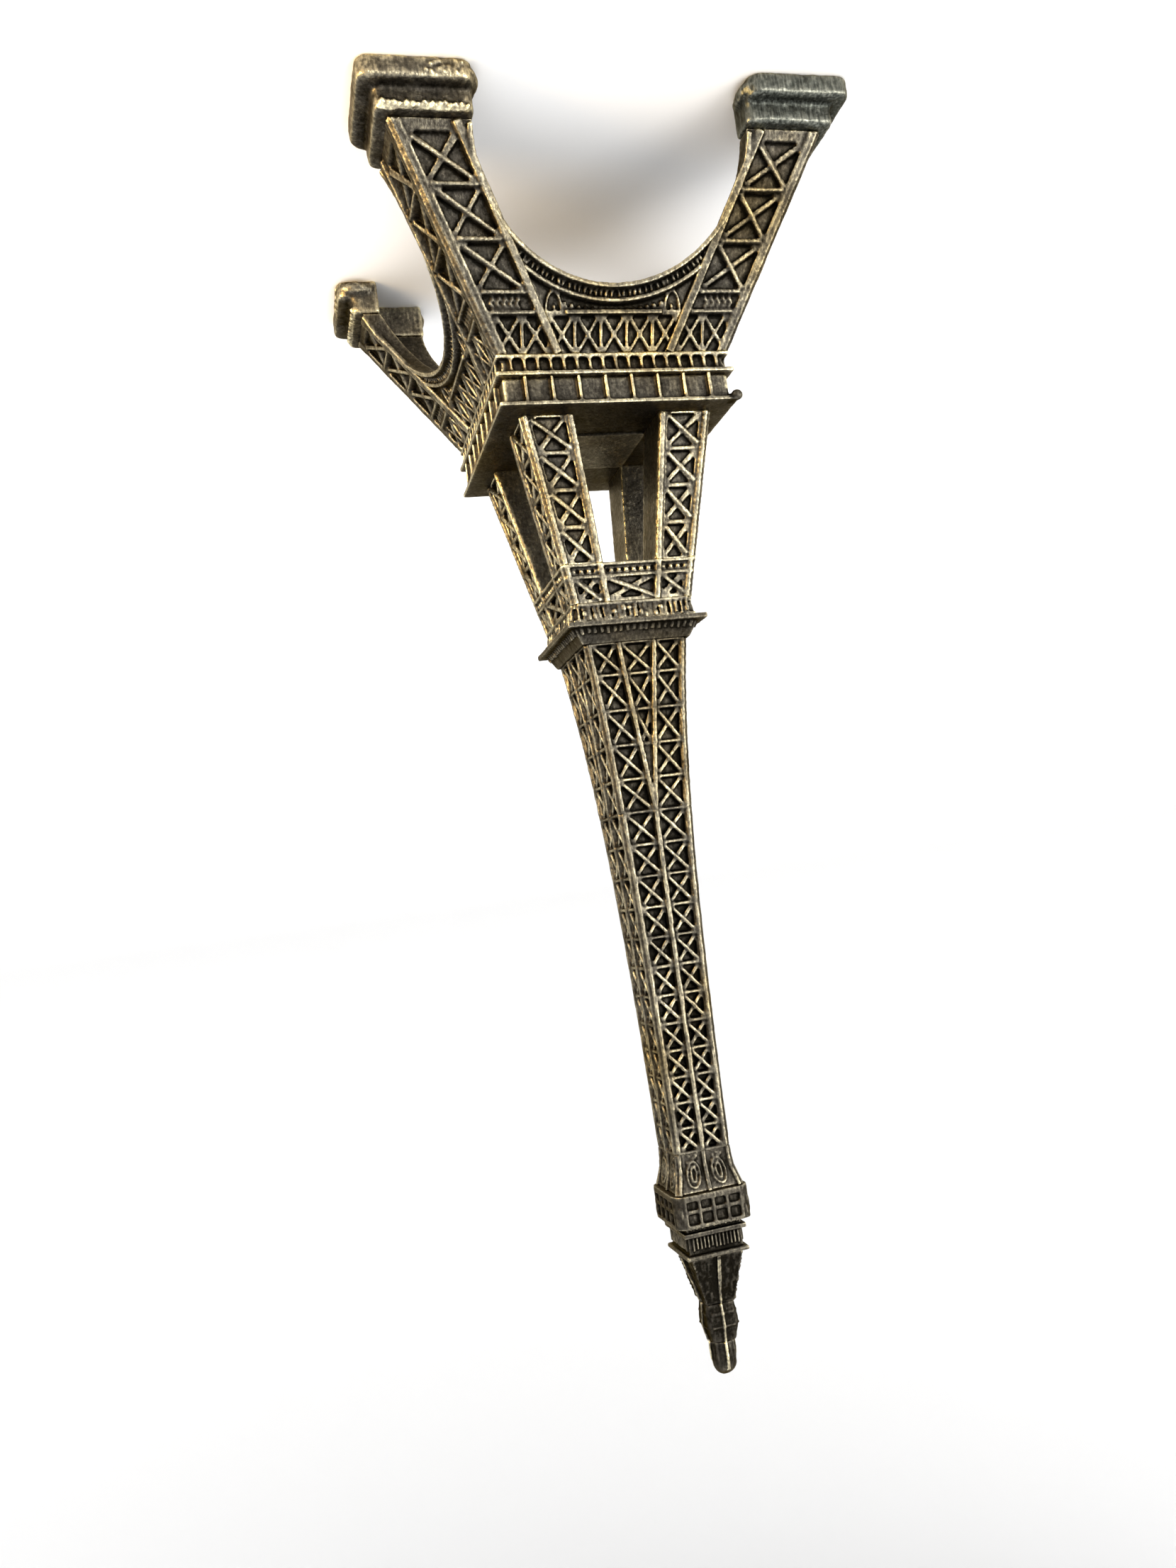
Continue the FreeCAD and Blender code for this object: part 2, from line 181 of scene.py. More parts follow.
def rounded_off(mesh, grain, rounding):
    """The same section with all its edges worn round before any trim is put on."""
    piece = fused(mesh, "core", grain, rounding)
    core = bmesh.new()
    core.from_mesh(piece.data)
    bmesh.ops.scale(core, vec=(1 / MM, 1 / MM, 1 / MM), verts=core.verts)
    data = piece.data
    bpy.data.objects.remove(piece)
    bpy.data.meshes.remove(data)
    return core


seam_reach = 0.25
seam_wear = 0.25


def hide_seams(piece, heights):
    """Takes the wear off the edges where a section meets the next one, so that no line shows."""
    count = len(piece.data.vertices)
    place = np.empty(count * 3, np.float32)
    piece.data.vertices.foreach_get("co", place)
    z = place[2::3] / MM
    edges = np.empty(count, np.float32)
    values = piece.data.attributes["edges"].data
    values.foreach_get("value", edges)
    for height in heights:
        edges[abs(z - height) < seam_reach] *= seam_wear
    values.foreach_set("value", edges)


most_triangles = 190000
kept_share = 0.62
edge_reach = 0.9
hollow_reach = 14


def cast(mesh, name, grain, rounding, lump=0.07, pit=0.035, patina=0.0, seams=()):
    """Fuses a section and its trim into one skin, rounded and uneven as cast metal is."""
    piece = fused(mesh, name, grain, rounding)
    for texture, height in ((lumps, lump), (pits, pit)):
        uneven = piece.modifiers.new(texture.name, "DISPLACE")
        uneven.texture = texture
        uneven.texture_coords = "LOCAL"
        uneven.strength = height * MM
        uneven.mid_level = 0.5
    baked(piece)
    write_relief(piece, "edges", round(edge_reach / grain))
    # Deep hollows are darkened: patina, deepened by painted shade.
    write_relief(piece, "depth", round(hollow_reach / grain))
    write_patina_and_top_shade(piece, patina)
    hide_seams(piece, seams)
    thin = piece.modifiers.new("thin", "DECIMATE")
    thin.ratio = min(kept_share, most_triangles / (2 * len(piece.data.polygons)))
    baked(piece)
    piece.data.polygons.foreach_set("use_smooth", [True] * len(piece.data.polygons))
    return piece


def write_relief(piece, attribute, passes):
    """Keeps each point's height over the same skin smoothed further, in millimetres."""
    smooth = piece.modifiers.new("smooth", "SMOOTH")
    smooth.factor = 1
    smooth.iterations = passes
    level = piece.evaluated_get(bpy.context.evaluated_depsgraph_get()).data
    count = len(level.vertices)
    raised, even, normal = (np.empty(count * 3, np.float32) for _ in range(3))
    piece.data.vertices.foreach_get("co", raised)
    level.vertices.foreach_get("co", even)
    piece.data.vertex_normals.foreach_get("vector", normal)
    height = ((raised - even) * normal).reshape(-1, 3).sum(axis=1) / MM
    piece.modifiers.clear()
    piece.data.attributes.new(attribute, "FLOAT", "POINT").data.foreach_set("value", height)


def write_patina_and_top_shade(piece, patina):
    """Marks the points that look up with painted shade, on top of the piece's own patina."""
    normal = np.empty(len(piece.data.vertices) * 3, np.float32)
    piece.data.vertex_normals.foreach_get("vector", normal)
    # Painted shade: faces that look up are darkened.
    patina_and_top_shade = np.clip((normal.reshape(-1, 3)[:, 2] - 0.55) / 0.35, 0, 1) + patina
    piece.data.attributes.new("patina_and_top_shade", "FLOAT", "POINT").data.foreach_set("value", patina_and_top_shade)


def antiqued_brass():
    """Plated casting: pale brass where it is rubbed, dark brown patina and painted shade where it is
    sunk.
    """
    material = bpy.data.materials.new("antiqued_brass")
    material.use_nodes = True
    nodes, links = material.node_tree.nodes, material.node_tree.links
    shader = nodes["Principled BSDF"]
    shader.inputs["Metallic"].default_value = 1.0
    place = nodes.new("ShaderNodeTexCoord").outputs["Object"]

    def calculate(operation, a, b):
        made = nodes.new("ShaderNodeMath")
        made.operation = operation
        for socket, value in zip(made.inputs, (a, b)):
            if isinstance(value, (int, float)):
                socket.default_value = value
            else:
                links.new(value, socket)
        return made.outputs[0]

    def noise(scale, detail, roughness, stretch=(1, 1, 1)):
        drawn = nodes.new("ShaderNodeMapping")
        drawn.inputs["Scale"].default_value = stretch
        links.new(place, drawn.inputs["Vector"])
        made = nodes.new("ShaderNodeTexNoise")
        made.inputs["Scale"].default_value = scale
        made.inputs["Detail"].default_value = detail
        made.inputs["Roughness"].default_value = roughness
        links.new(drawn.outputs["Vector"], made.inputs["Vector"])
        return calculate("SUBTRACT", made.outputs["Fac"], 0.5)

    def ramp(source, stops):
        made = nodes.new("ShaderNodeValToRGB")
        links.new(source, made.inputs["Fac"])
        elements = made.color_ramp.elements
        while len(elements) < len(stops):
            elements.new(0.5)
        for element, (position, colour) in zip(elements, stops):
            element.position = position
            element.color = (*colour, 1)
        return made.outputs["Color"]

    def blend(kind, share, a, b):
        made = nodes.new("ShaderNodeMix")
        made.data_type = "RGBA"
        made.blend_type = kind
        for socket, value in ((made.inputs[0], share), (made.inputs[6], a), (made.inputs[7], b)):
            if isinstance(value, (float, tuple)):
                socket.default_value = value
            else:
                links.new(value, socket)
        return made.outputs[2]

    def attribute(name):
        made = nodes.new("ShaderNodeAttribute")
        made.attribute_name = name
        return made.outputs["Fac"]

    def total(parts):
        result = parts[0]
        for part in parts[1:]:
            result = calculate("ADD", result, part)
        return result

    # Rubbed metal: edges bright, hollows dark, with stains, speckle and strokes of the file.
    dull = attribute("dull")
    edges = calculate("MULTIPLY", attribute("edges"), 7.0)
    # Hollows darker: patina, with painted shade in deep recesses.
    depth = calculate("MULTIPLY", attribute("depth"), 0.45)
    # Painted shade on faces that look up, added to each piece's own patina.
    patina_and_top_shade = calculate("MULTIPLY", attribute("patina_and_top_shade"), -0.2)
    stains = calculate("MULTIPLY", noise(380, 5, 0.6), 0.5)
    speckle = calculate("MULTIPLY", noise(3500, 5, 0.7), 0.75)
    strokes = noise(5200, 3, 0.55, (1, 1, 0.16))
    worn = total([edges, depth, patina_and_top_shade, stains, speckle, calculate("MULTIPLY", strokes, 0.45)])
    worn = calculate("ADD", worn, 0.33)
    brass = ramp(worn, ((0.0, (0.008, 0.007, 0.005)), (0.3, (0.046, 0.041, 0.033)),
                        (0.5, (0.115, 0.103, 0.078)), (0.74, (0.38, 0.335, 0.23)),
                        (0.98, (0.96, 0.87, 0.55))))
    # The plating is goldener in patches, and a dull grey-green where it has gone.
    patches = calculate("ADD", noise(120, 3, 0.5), 0.5)
    gold = ramp(patches, ((0.5, (1.0, 1.0, 1.0)), (0.75, (1.0, 0.86, 0.58))))
    colour = blend("MULTIPLY", 1.0, brass, gold)
    brushed = calculate("MULTIPLY", strokes, 0.9)
    bare = total([calculate("MULTIPLY", worn, 0.7), brushed, calculate("MULTIPLY", dull, 0.13)])
    pewter = ramp(bare, ((0.0, (0.012, 0.013, 0.011)), (0.35, (0.06, 0.066, 0.058)),
                         (0.7, (0.18, 0.19, 0.165)), (1.0, (0.5, 0.5, 0.42))))
    colour = blend("MIX", dull, colour, pewter)
    links.new(colour, shader.inputs["Base Color"])
    rough = ramp(worn, ((0.0, (0.5, 0.5, 0.5)), (0.95, (0.24, 0.24, 0.24))))
    links.new(rough, shader.inputs["Roughness"])
    shader.inputs["Specular Tint"].default_value = (0.6, 0.54, 0.44, 1)
    bump = nodes.new("ShaderNodeBump")
    bump.inputs["Strength"].default_value = 0.7
    bump.inputs["Distance"].default_value = 0.05 * MM
    grit = calculate("MULTIPLY", noise(11000, 3, 0.6), 0.5)
    rough_skin = total([noise(4000, 4, 0.6), grit, calculate("MULTIPLY", strokes, 0.9)])
    links.new(rough_skin, bump.inputs["Height"])
    links.new(bump.outputs["Normal"], shader.inputs["Normal"])
    return material


brass = antiqued_brass()


def set_in_place(piece, node):
    """Gives a finished casting its metal and the place of its plain section."""
    piece.data.materials.clear()
    piece.data.materials.append(brass)
    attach(piece, "root")
    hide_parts(node)


def repaint_box(piece, turns, low, high, patina):
    """Sets the patina and painted light value inside a box that is given for the front face, turned by
    quarter turns.
    """
    count = len(piece.data.vertices)
    place = np.empty(count * 3, np.float32)
    piece.data.vertices.foreach_get("co", place)
    back = np.array(Matrix.Rotation(turns * math.pi / 2, 3, "Z"))
    place = place.reshape(-1, 3) @ back / MM
    inside = ((place > low) & (place < high)).all(axis=1)
    patina_and_top_shade = np.empty(count, np.float32)
    values = piece.data.attributes["patina_and_top_shade"].data
    values.foreach_get("value", patina_and_top_shade)
    patina_and_top_shade[inside] = patina
    values.foreach_set("value", patina_and_top_shade)


def toe_trim(low, high):
    """Round toe of the slab, a little longer than the pedestal on it."""
    trim = bmesh.new()
    add_bead(trim, (low.x + 0.35, -high.x + 1.8, low.z + 0.78), 1.7, 3.3, 1.5)
    return trim


pedestal_inset = 1.15
slab_toe_length = 3.9
slab_dents = 18


def foot_trim(low, high):
    """Lumpy moulding round the head of the pedestal, and dents near the toe of the slab."""
    trim = bmesh.new()
    face = high.x - pedestal_inset
    z = high.z - 0.28
    x = low.x + 0.5
    while x < face - 0.5:
        size = chance.uniform(0.26, 0.48)
        add_bead(trim, (x, -face - 0.02, z - chance.uniform(-0.06, 0.2)), size, 0.34, size * 1.25)
        x += chance.uniform(0.34, 0.55)
    for dent in range(slab_dents):
        spot = (low.x + chance.uniform(0.5, 3.4), -high.x + 0.02, low.z + chance.uniform(0.4, 1.2))
        add_bead(trim, spot, chance.uniform(0.26, 0.44), 0.36, chance.uniform(0.24, 0.4))
    return trim


foot_low, foot_high = corners_of("foot_front_right")
for turn, corner in enumerate(CORNERS):
    node = "foot_" + corner
    mesh = rounded_off(casting_of(node), 0.12, 26)
    toe = toe_trim(foot_low, foot_high)
    sides = bmesh.new()
    add_turned(sides, toe, [0])
    add_across(sides, toe)
    if corner != "front_left":
        trim = foot_trim(foot_low, foot_high)
        add_turned(sides, trim, [0])
        trim.free()
    add_turned(mesh, sides, [turn])
    toe.free()
    sides.free()
    piece = cast(mesh, node + "_casting", 0.1, 3, lump=0.14, patina=-0.5)
    edge = -foot_high.x
    toe_end = foot_low.x + slab_toe_length
    # Painted highlight: the dents at the toe and the moulding of the pedestal are rubbed bright and
    # painted lighter still, as glints.
    rubbed = -1.2 if corner != "front_left" else -0.5
    repaint_box(piece, turn, (foot_low.x, edge - 1, 0.2), (toe_end, edge + 0.3, 1.45), rubbed)
    face = foot_high.x - pedestal_inset
    repaint_box(piece, turn, (foot_low.x, -face - 1, 2.35), (face, -face + 0.3, foot_high.z), rubbed)
    if corner == "front_left":
        dull = piece.data.attributes.new("dull", "FLOAT", "POINT")
        dull.data.foreach_set("value", [0.85] * len(piece.data.vertices))
    set_in_place(piece, node)


# ---- Legs ---------------------------------------------------------------------------------
# Hollow angle castings that lean in to the platform. On both outer faces two long chords
# stand proud, with crossed braces and round cross bars between them, all cut in the pattern
# by hand, so one brace passes over the other and the bars near the platform are beaded.

leg_low, leg_high = corners_of("leg_front_right")
leg_foot_half = leg_high.x
leg_head_half = 9.3
leg_width = 5.2
bar_heights = (6.78, 9.97, 13.15, 14.43)
bay_foot = 3.6
arch_half_span = 10.5
arch_rise = 9.35
arch_spring = leg_low.z + 0.25
arch_steps = 96
leg_arch_steps = 14
chevron_foot, chevron_middle, chevron_head = 13.5, 13.8, 14.1


def leg_half(z):
    """Half width of the tower over the legs."""
    share = (z - leg_low.z) / (leg_high.z - leg_low.z)
    return leg_foot_half + (leg_head_half - leg_foot_half) * share


def on_leg(x, z, proud=0.0):
    """Point on the front face of the legs, or proud of it."""
    return (x, -leg_half(z) - proud, z)


def arch_point(turn, offset, proud=0.0):
    """Point beside the arch's edge on the front face: turn 0 is at the right, a half turn left."""
    x = (arch_half_span + offset) * math.cos(turn)
    z = arch_spring + (arch_rise + offset) * math.sin(turn)
    return on_leg(x, z, proud)


def leg_trim(over):
    """Raised members of a leg's front face: over is 1 where the upper brace rises to the corner."""
    trim = bmesh.new()

    def along(inset, proud):
        return [on_leg(leg_half(z) - inset, z, proud) for z in (leg_low.z + 0.1, leg_high.z)]

    add_path(trim, along(leg_width - 0.42, 0.02), 0.62, 0.4)
    add_path(trim, along(0.24, 0.0), 0.3, 0.3)
    add_path(trim, along(0.68, 0.0), 0.26, 0.3)
    inner, outer = leg_width - 0.9, 1.0
    levels = (bay_foot + 0.3,) + bar_heights[:3]
    for z0, z1 in zip(levels, levels[1:]):
        start, end = (outer, inner) if over < 0 else (inner, outer)
        low, high = z0 + 0.2, z1 - 0.25
        add_path(trim, [on_leg(leg_half(low) - start, low, -0.06),
                        on_leg(leg_half(high) - end, high, -0.06)], 0.32, 0.36)
        add_path(trim, [on_leg(leg_half(low) - end, low, -0.2),
                        on_leg(leg_half(high) - start, high, -0.2)], 0.27, 0.34)
    for z in bar_heights:
        ends = (leg_half(z) - inner, leg_half(z) - outer)
        add_path(trim, [on_leg(x, z, -0.02) for x in ends], 0.32, 0.42)
    for z in bar_heights[:3]:
        x = leg_half(z) - inner + chance.uniform(0.1, 0.3)
        while x < leg_half(z) - outer:
            add_bead(trim, on_leg(x, z, 0.12), 0.24, 0.26, chance.uniform(0.34, 0.5))
            x += chance.uniform(0.28, 0.4)
    x = leg_half(bar_heights[2]) - inner + 0.4
    while x < leg_half(bar_heights[2]) - outer - 0.5:
        chevron = ((x, chevron_foot), (x + 0.3, chevron_middle), (x, chevron_head))
        add_path(trim, [on_leg(side, z, -0.15) for side, z in chevron], 0.2, 0.3)
        x += 0.5
    steps = [i * math.pi / arch_steps for i in range(leg_arch_steps)]
    add_path(trim, [arch_point(step, 0.14, 0.06) for step in steps], 0.36, 0.4)
    return trim


rising = leg_trim(1)
falling = leg_trim(-1)
pair = bmesh.new()
add_turned(pair, falling, [0])
add_across(pair, rising)
for turn, corner in enumerate(CORNERS):
    node = "leg_" + corner
    mesh = casting_of(node)
    add_turned(mesh, pair, [turn])
    set_in_place(cast(mesh, node + "_casting", 0.1, 3), node)
for trim in (rising, falling, pair):
    trim.free()


# ---- Arches -------------------------------------------------------------------------------
# Between the legs the front is one casting: a round rib at the arch's edge, a hollow with
# short radial strokes, a second rib, small loops and peaks over it, and the braced row that
# carries the platform.

SIDES = ("front", "right", "back", "left")
arch_high = corners_of("arch_front")[1]
outer_rib = 1.03
hoop_middle, hoop_foot, hoop_rise, hoop_half = 4.75, 14.15, 1.15, 0.6
peak_foot, peak_spacing = 14.3, 0.55


def arch_trim():
    """Ribs, radial strokes and small loops of the front arch."""
    trim = bmesh.new()

    def between(place):
        """Whether a point is clear of the legs' inner chords."""
        return abs(place[0]) < leg_half(place[2]) - leg_width + 0.3

    turns = [math.pi * (leg_arch_steps + i) / arch_steps for i in range(69)]
    add_path(trim, [arch_point(turn, 0.14, 0.06) for turn in turns], 0.36, 0.4)
    rib = [arch_point(turn, outer_rib, -0.02) for turn in turns]
    add_path(trim, [place for place in rib if between(place)], 0.3, 0.34)
    turn = turns[2]
    while turn < turns[-3]:
        length = chance.uniform(0.28, 0.42)
        lean = chance.uniform(-0.01, 0.01)
        stroke = [arch_point(turn, 0.38, -0.3), arch_point(turn + lean, 0.38 + length, -0.3)]
        if between(stroke[0]):
            add_path(trim, stroke, 0.17, 0.34)
        turn += chance.uniform(0.034, 0.046)
    rail_z = bar_heights[3]
    add_path(trim, [on_leg(x, rail_z, 0.0) for x in (-arch_high.x + 4.2, arch_high.x - 4.2)], 0.34, 0.4)
    for side in (-1, 1):
        hoop = []
        for step in (i * math.pi / 10 for i in range(11)):
            x = side * hoop_middle + hoop_half * math.cos(step)
            hoop.append(on_leg(x, hoop_foot - hoop_rise * math.sin(step), -0.28))
        add_path(trim, hoop, 0.18, 0.3)
        add_bead(trim, on_leg(side * 4.7, 13.95, -0.28), 0.24, 0.34, 0.5)
    for i in range(-7, 8):
        x = i * peak_spacing
        height = 0.2 + 0.03 * i * i / 3
        peak = ((x - 0.2, peak_foot), (x, peak_foot - height), (x + 0.2, peak_foot))
        add_path(trim, [on_leg(side, z, -0.28) for side, z in peak], 0.15, 0.26)
    return trim


trim = arch_trim()
for turn, side in enumerate(SIDES):
    node = "arch_" + side
    mesh = casting_of(node)
    add_turned(mesh, trim, [turn])
    set_in_place(cast(mesh, node + "_casting", 0.09, 2), node)
trim.free()


# ---- First platform -----------------------------------------------------------------------
# A low gallery of balusters with a taller panelled gallery over it, both with a rail that
# stands proud and is nicked by the file. A low plate covers the deck between the posts, painted
# lighter, and one corner of the deck carries a lump of spilt metal, painted near black.

def rail_trim(half, z, height):
    """Uneven rail along the front face, nicked all along by the file."""
    trim = bmesh.new()
    add_bar(trim, (-half, -half, z), (half, -half, z), height, 0.16)
    x = -half
    while x < half - 0.1:
        add_bead(trim, (x, -half - 0.03, z), 0.22, 0.14, height * chance.uniform(0.8, 1.25))
        x += chance.uniform(0.2, 0.32)
    return trim


baluster_rails = ((9.36, 17.18), (9.52, 18.62))
panel_rails = ((9.52, 20.97),)
plate_half = 3.6
deck = corners_of("panelled_gallery")[1].z
for node, rails in (("baluster_gallery", baluster_rails), ("panelled_gallery", panel_rails)):
    mesh = casting_of(node)
    for half, z in rails:
        add_all_round(mesh, rail_trim(half, z, 0.3))
    if node == "panelled_gallery":
        add_bar(mesh, (0, -plate_half, deck), (0, plate_half, deck), 2 * plate_half, 0.24, (0, 0, 1))
        for i in range(41):
            x = plate_half * (i / 20 - 1)
            add_bead(mesh, (x, -plate_half + chance.uniform(-0.08, 0.04), deck + 0.03), 0.34, 0.2, 0.26)
        add_bead(mesh, (-9.55, -9.42, deck - 0.42), 1.0, 0.8, 0.9)
    piece = cast(mesh, node + "_casting", 0.12, 2, patina=-0.3)
    if node == "panelled_gallery":
        # Painted light: the deck plate is painted lighter, without the painted shade of faces that look
        # up.
        repaint_box(piece, 0, (-plate_half, -plate_half, deck), (plate_half, plate_half, deck + 1), -0.5)
        # The lump at the corner is painted near black.
        repaint_box(piece, 0, (-10.4, -10.2, deck - 1.1), (-8.9, -8.7, deck + 0.4), 2.0)
    set_in_place(piece, node)


# ---- Second stage -------------------------------------------------------------------------
# Four leaning corner posts, braced on their two outer faces like the legs and plain on the
# sides of the windows between them.

post_low, post_high = corners_of("post_front_right")
post_foot_half = post_high.x
stage_head_half = 4.85
stage_head_z = 35.5
window_foot_half = 3.5
window_head_half = 2.14
post_bays = 4


def stage_half(z):
    """Half width of the second stage."""
    rise = z - post_low.z
    return post_foot_half + (stage_head_half - post_foot_half) * rise / (stage_head_z - post_low.z)


def window_half(z):
    """Half width of the windows in the second stage."""
    rise = z - post_low.z
    return window_foot_half + (window_head_half - window_foot_half) * rise / (post_high.z - post_low.z)


def on_stage(x, z, proud=0.0):
    """Point on the front face of the second stage, or proud of it."""
    return (x, -stage_half(z) - proud, z)


def post_trim(over):
    """Raised members of a post's front face."""
    trim = bmesh.new()
    ends = (post_low.z, post_high.z)
    add_path(trim, [on_stage(window_half(z) + 0.3, z, 0.04) for z in ends], 0.4, 0.36)
    add_path(trim, [on_stage(window_half(z) + 0.66, z, -0.06) for z in ends], 0.2, 0.3)
    add_path(trim, [on_stage(stage_half(z) - 0.24, z, 0.02) for z in ends], 0.36, 0.34)
    bay = (post_high.z - post_low.z) / post_bays
    for i in range(post_bays):
        z0 = post_low.z + bay * i + 0.3
        z1 = z0 + bay - 0.6
        corners = [window_half(z0) + 0.8, stage_half(z0) - 0.6,
                   window_half(z1) + 0.8, stage_half(z1) - 0.6]
        if over < 0:
            corners = [corners[1], corners[0], corners[3], corners[2]]
        add_path(trim, [on_stage(corners[0], z0, -0.04), on_stage(corners[3], z1, -0.04)], 0.3, 0.36)
        add_path(trim, [on_stage(corners[1], z0, -0.2), on_stage(corners[2], z1, -0.2)], 0.26, 0.34)
        edge = z1 + 0.25
        add_path(trim, [on_stage(window_half(edge) + 0.7, edge, -0.15),
                        on_stage(stage_half(edge) - 0.5, edge, -0.15)], 0.2, 0.34)
    return trim


rising = post_trim(1)
falling = post_trim(-1)
pair = bmesh.new()
add_turned(pair, falling, [0])
add_across(pair, rising)
for turn, corner in enumerate(CORNERS):
    node = "post_" + corner
    mesh = casting_of(node)
    add_turned(mesh, pair, [turn])
    set_in_place(cast(mesh, node + "_casting", 0.09, 2, patina=-0.5), node)
for trim in (rising, falling, pair):
    trim.free()


# ---- Window lintel ------------------------------------------------------------------------
# The solid band over the windows: a frieze of rosettes and crossed strokes, then a row of
# three braced bays between the chords that run up from the posts.

lintel_low, lintel_high = corners_of("window_lintel")


def lintel_trim():
    """Frieze, braces and chords on the front face of the lintel."""
    trim = bmesh.new()
    slope = (window_foot_half - window_head_half) / (post_high.z - post_low.z)

    def middle(z):
        return window_head_half - slope * (z - lintel_low.z) + 0.3

    ends = (lintel_low.z, lintel_high.z)
    z0, z1, z2 = lintel_low.z + 0.12, lintel_low.z + 1.05, lintel_high.z - 0.2
    for side in (-1, 1):
        add_path(trim, [on_stage(side * middle(z), z, 0.05) for z in ends], 0.44, 0.36)
        add_path(trim, [on_stage(side * (stage_half(z) - 0.26), z, 0.02) for z in ends], 0.36, 0.34)
    for z, width in ((z0, 0.26), (z1, 0.24)):
        add_path(trim, [on_stage(x, z, 0.0) for x in (-stage_half(z), stage_half(z))], width, 0.34)
    x = -stage_half(z0) + 0.75
    while x < stage_half(z0) - 0.6:
        z = (z0 + z1) / 2
        add_bead(trim, on_stage(x, z, -0.02), 0.34, 0.34, 0.34)
        for lean in (-1, 1):
            stroke = [on_stage(x + way * 0.26, z + way * 0.26 * lean, -0.15) for way in (-1, 1)]
            add_path(trim, stroke, 0.13, 0.26)
        x += 0.62
    spans = ((-stage_half(z1) + 0.6, -middle(z1) - 0.3), (-middle(z1) + 0.3, middle(z1) - 0.3),
             (middle(z1) + 0.3, stage_half(z1) - 0.6))
    for x0, x1 in spans:
        add_path(trim, [on_stage(x1, z1 + 0.15, -0.04), on_stage(x0, z2, -0.04)], 0.28, 0.34)
        add_path(trim, [on_stage(x0, z1 + 0.15, -0.18), on_stage(x1, z2, -0.18)], 0.25, 0.34)
    return trim


mesh = casting_of("window_lintel")
add_all_round(mesh, lintel_trim())
set_in_place(cast(mesh, "window_lintel_casting", 0.09, 2, patina=-0.4), "window_lintel")


# ---- Second platform ----------------------------------------------------------------------
# A flared gallery of small round-headed openings, the sharp ledge over it, and a stepped
# corbel with fine dentils where the shaft starts.

balcony_low, balcony_high = corners_of("second_gallery")


def balcony_trim():
    """Lumpy balusters that have half run together along the front of the second gallery."""
    trim = bmesh.new()
    half = balcony_high.x
    reach = half - 0.5
    z0, z1 = balcony_low.z + 0.1, balcony_high.z - 0.05
    add_bar(trim, (-reach, -half + 0.2, z0), (reach, -half + 0.2, z0), 0.22, 0.3)
    x = -reach + 0.2
    while x < reach:
        lean = chance.uniform(-0.06, 0.06)
        depth = chance.uniform(0.1, 0.24)
        foot = (x - lean, -half + depth + 0.14, z0 + chance.uniform(0.1, 0.3))
        head = (x + lean, -half + depth - 0.04, z1 - chance.uniform(0.05, 0.35))
        add_bar(trim, foot, head, chance.uniform(0.16, 0.3), 0.4)
        if chance.random() < 0.45:
            place = (x, -half + 0.1, chance.uniform(z0 + 0.4, z1 - 0.3))
            add_bead(trim, place, 0.4, 0.4, chance.uniform(0.4, 0.8))
        x += chance.uniform(0.34, 0.5)
    return trim


mesh = casting_of("second_gallery")
add_all_round(mesh, balcony_trim())
set_in_place(cast(mesh, "second_gallery_casting", 0.08, 2, patina=-0.3), "second_gallery")

ledge_low, ledge_high = corners_of("second_ledge")
dentils = 17


def ledge_trim():
    """Nicked edge of the ledge and the dentils on the corbel."""
    trim = rail_trim(ledge_high.x - 0.02, ledge_low.z + 0.2, 0.42)
    for i in range(dentils + 1):
        x = -4.6 + 9.2 * i / dentils + chance.uniform(-0.05, 0.05)
        top = ledge_low.z + chance.uniform(0.72, 0.9)
        add_bar(trim, (x, -5.12, ledge_low.z + 0.4), (x * 0.97, -4.9, top), 0.26, 0.32)
    return trim


mesh = casting_of("second_ledge")
add_all_round(mesh, ledge_trim())
set_in_place(cast(mesh, "second_ledge_casting", 0.08, 2, lump=0.05, patina=0.55), "second_ledge")


# ---- Shaft --------------------------------------------------------------------------------
# Four curving corner chords with two middle chords on each face that meet part of the way up.
# Cross bars part it into short braced cells, cut deep so that they fill with dark patina and painted
# shade.

shaft_low = corners_of("lower_shaft")[0]
shaft_joint = corners_of("upper_shaft")[0]
shaft_foot_half = 4.15
shaft_limit_half = 1.95
shaft_curve_length = 16.5
shaft_cells = (2.5,) + tuple(2.85 - 0.065 * i for i in range(16))
middle_chord_offset = 1.5


def shaft_half(z):
    """Half width of the shaft."""
    spread = (shaft_foot_half - shaft_limit_half) * math.exp((shaft_low.z - z) / shaft_curve_length)
    return shaft_limit_half + spread


def on_shaft(x, z, proud=0.0):
    """Point on the front face of the shaft, or proud of it."""
    return (x, -shaft_half(z) - proud, z)


def middle_chord(z):
    """Distance of the middle chords from the middle of a face: nothing where they have met."""
    return max(0.0, middle_chord_offset * (shaft_joint.z - z) / (shaft_joint.z - shaft_low.z))


